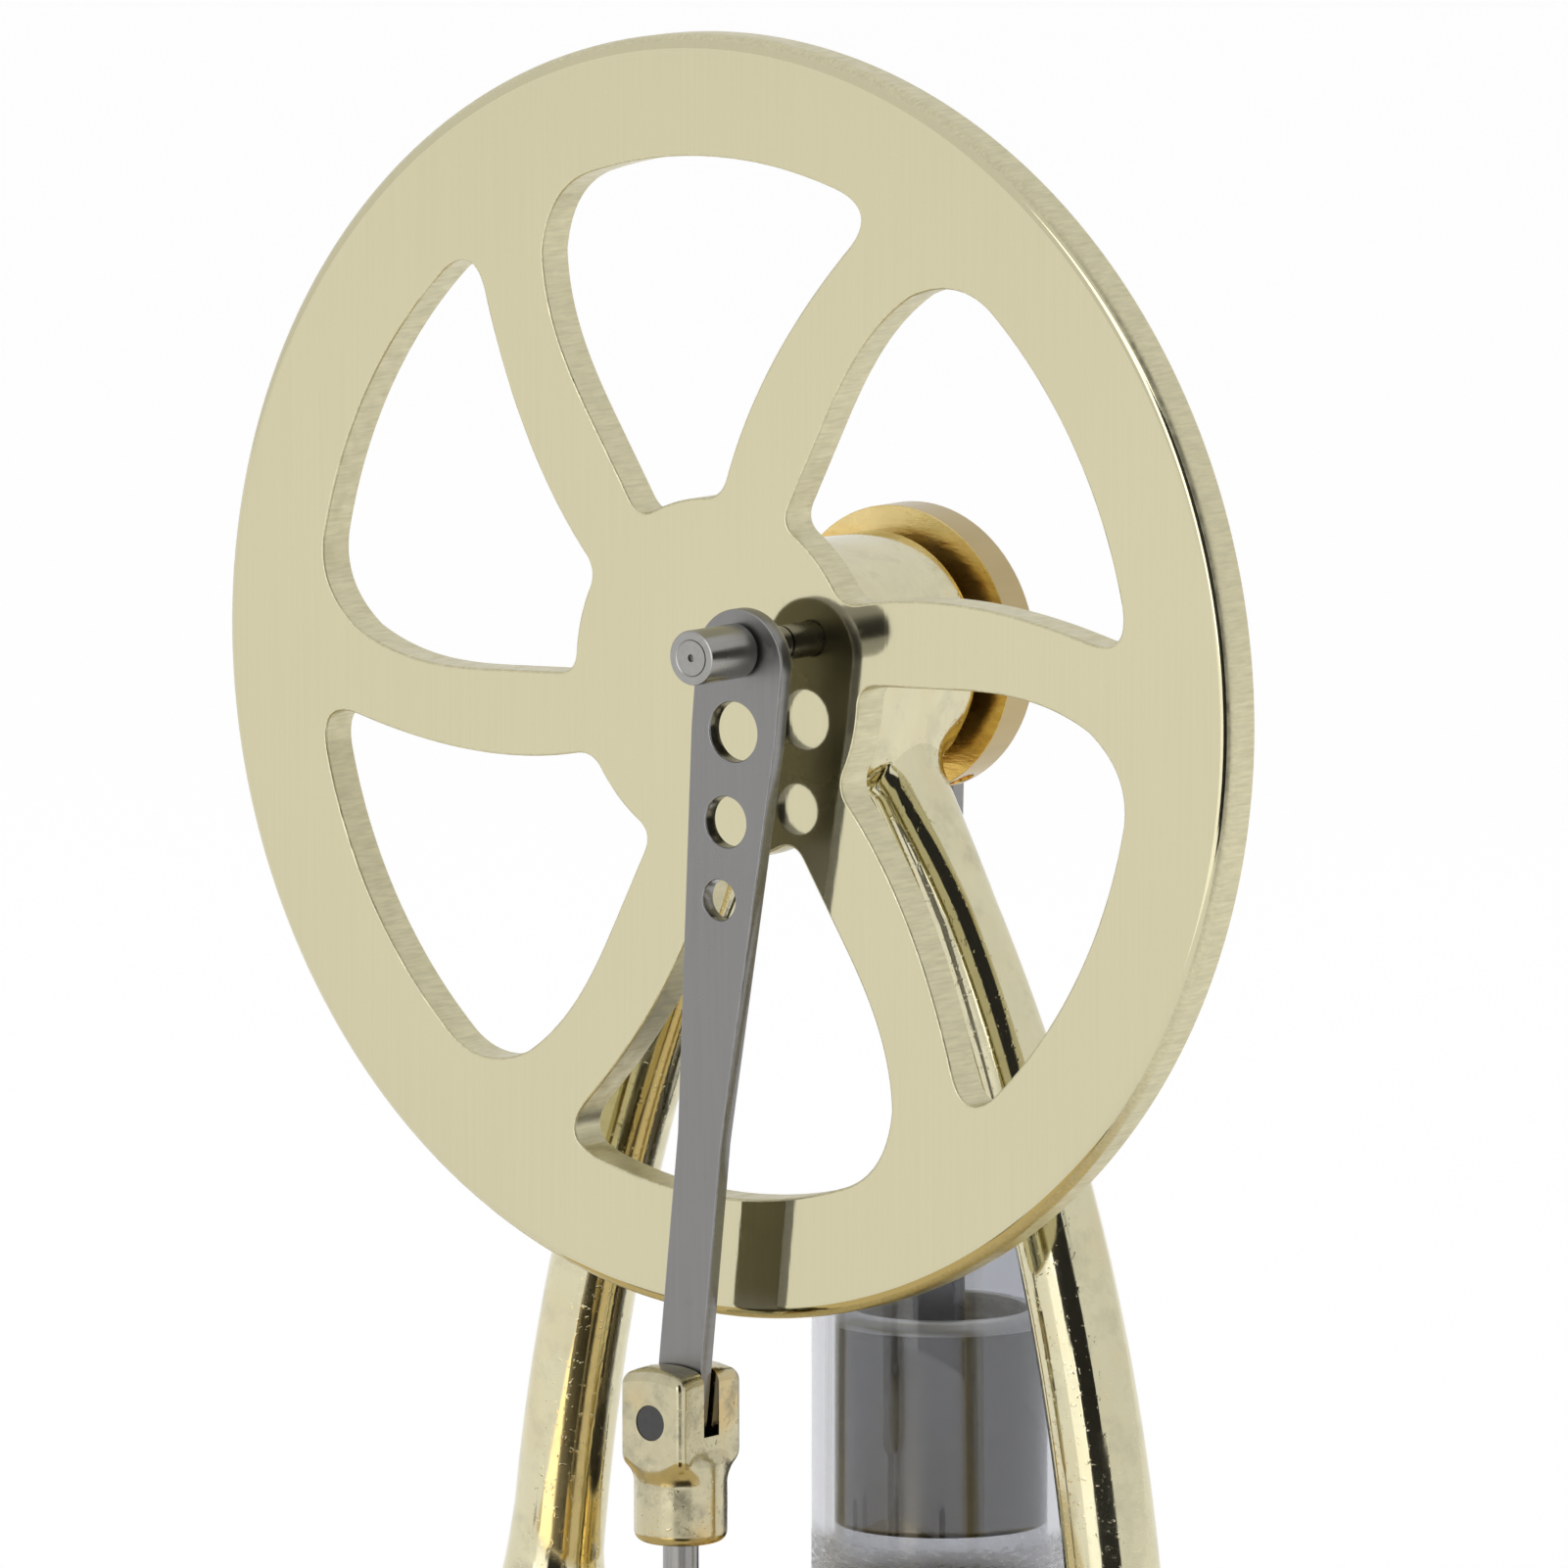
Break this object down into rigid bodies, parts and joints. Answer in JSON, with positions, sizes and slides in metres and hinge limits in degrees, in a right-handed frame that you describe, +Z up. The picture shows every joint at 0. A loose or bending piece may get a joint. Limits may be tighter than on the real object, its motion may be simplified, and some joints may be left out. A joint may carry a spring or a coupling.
{
  "type": "stirling engine model",
  "caption": "Desktop hot-air engine: spoked flywheel on an arch stand, crank-driven displacer in a clear chamber and a glass power cylinder behind.",
  "frame": {"origin": "centre of the underside of the base, on the displacer rod's axis", "axes": "+Z up, crank axis along Y with the flywheel towards -Y, +X to the right seen from the flywheel side"},
  "size_m": [0.093, 0.093, 0.1245],
  "materials": {
    "brass_polished": "mirror polished pale brass",
    "brass_cast": "polished plated casting",
    "aluminium_turned": "fine turned",
    "steel_brushed": "brushed",
    "steel_bright": "ground bright",
    "steel_dark": "blackened",
    "glass_clear": "clear tube",
    "acrylic_clear": "clear acrylic ring",
    "seal_rubber": "matte",
    "foam_white": "fine foam",
    "piston_metal": "lapped"
  },
  "bodies": {
    "frame": {"bottom_plate": "aluminium_turned", "top_plate": "aluminium_turned", "chamber_wall": "acrylic_clear", "lower_seal": "seal_rubber", "upper_seal": "seal_rubber", "plate_screws": "steel_bright", "plate_washers": "steel_bright", "displacer_gland": "brass_polished", "arch_stand": "brass_cast", "arch_screws": "steel_bright", "front_bearing_outer": "steel_bright", "rear_bearing_outer": "steel_bright", "cylinder_base": "brass_polished", "base_screws": "steel_bright", "cylinder_seal": "seal_rubber", "power_cylinder": "glass_clear"},
    "crankshaft": {"crankshaft": "steel_bright", "flywheel": "brass_polished", "front_spacer": "brass_polished", "middle_spacer": "brass_polished", "rear_spacer": "brass_polished", "front_bearing_inner": "steel_bright", "rear_bearing_inner": "steel_bright", "crank_disc": "brass_polished", "disc_screw": "steel_dark"},
    "front_balls": {"front_ball_set": "steel_bright"},
    "rear_balls": {"rear_ball_set": "steel_bright"},
    "displacer_key": {"front_key": "steel_bright"},
    "power_key": {"rear_key": "steel_bright"},
    "displacer": {"clevis": "brass_cast", "clevis_pin": "steel_dark", "displacer_rod": "steel_bright", "displacer": "foam_white", "displacer_washers": "steel_bright", "displacer_nuts": "brass_polished"},
    "displacer_conrod": {"displacer_conrod": "steel_brushed", "displacer_crank_pin": "steel_bright", "displacer_pin_collar": "steel_brushed"},
    "piston": {"piston": "piston_metal", "piston_fork": "brass_polished", "fork_screw": "steel_bright", "piston_pin": "steel_bright"},
    "power_conrod": {"power_conrod": "steel_brushed", "power_crank_pin": "steel_bright", "power_pin_collar": "steel_brushed"}
  },
  "joints": [
    {"name": "crankshaft_spin", "type": "hinge", "parent": "frame", "child": "crankshaft", "pos_m": [0, 0.0139, 0.088], "axis": [0, -1, 0], "continuous": true},
    {"name": "front_balls_spin", "type": "hinge", "parent": "frame", "child": "front_balls", "pos_m": [0, 0.01165, 0.088], "axis": [0, -1, 0], "continuous": true},
    {"name": "rear_balls_spin", "type": "hinge", "parent": "frame", "child": "rear_balls", "pos_m": [0, 0.01615, 0.088], "axis": [0, -1, 0], "continuous": true},
    {"name": "displacer_key_spin", "type": "hinge", "parent": "crankshaft", "child": "displacer_key", "pos_m": [0.00235, 0.0043, 0.08922], "axis": [0, -1, 0], "continuous": true},
    {"name": "displacer_lift", "type": "hinge", "parent": "displacer_key", "child": "displacer", "pos_m": [0, 0, 0.09045], "axis": [0, -1, 0], "continuous": true},
    {"name": "displacer_conrod_swing", "type": "hinge", "parent": "displacer", "child": "displacer_conrod", "pos_m": [0, 0, 0.0462], "axis": [0, -1, 0], "range_deg": [-0.78, 12.9]},
    {"name": "power_key_spin", "type": "hinge", "parent": "crankshaft", "child": "power_key", "pos_m": [-0.00092, 0.0209, 0.08977], "axis": [0, -1, 0], "continuous": true},
    {"name": "piston_lift", "type": "hinge", "parent": "power_key", "child": "piston", "pos_m": [0, 0.0238, 0.09155], "axis": [0, -1, 0], "continuous": true},
    {"name": "power_conrod_swing", "type": "hinge", "parent": "piston", "child": "power_conrod", "pos_m": [0, 0.0238, 0.04488], "axis": [0, -1, 0], "range_deg": [-7.18, 2.65]}
  ],
  "couplings": [
    {"joint": "front_balls_spin", "follows": "crankshaft_spin", "ratio": 0.4},
    {"joint": "rear_balls_spin", "follows": "crankshaft_spin", "ratio": 0.4},
    {"joint": "displacer_key_spin", "follows": "crankshaft_spin", "ratio": -2},
    {"joint": "displacer_lift", "follows": "crankshaft_spin", "ratio": 1},
    {"joint": "power_key_spin", "follows": "crankshaft_spin", "ratio": -2},
    {"joint": "piston_lift", "follows": "crankshaft_spin", "ratio": 1}
  ]
}
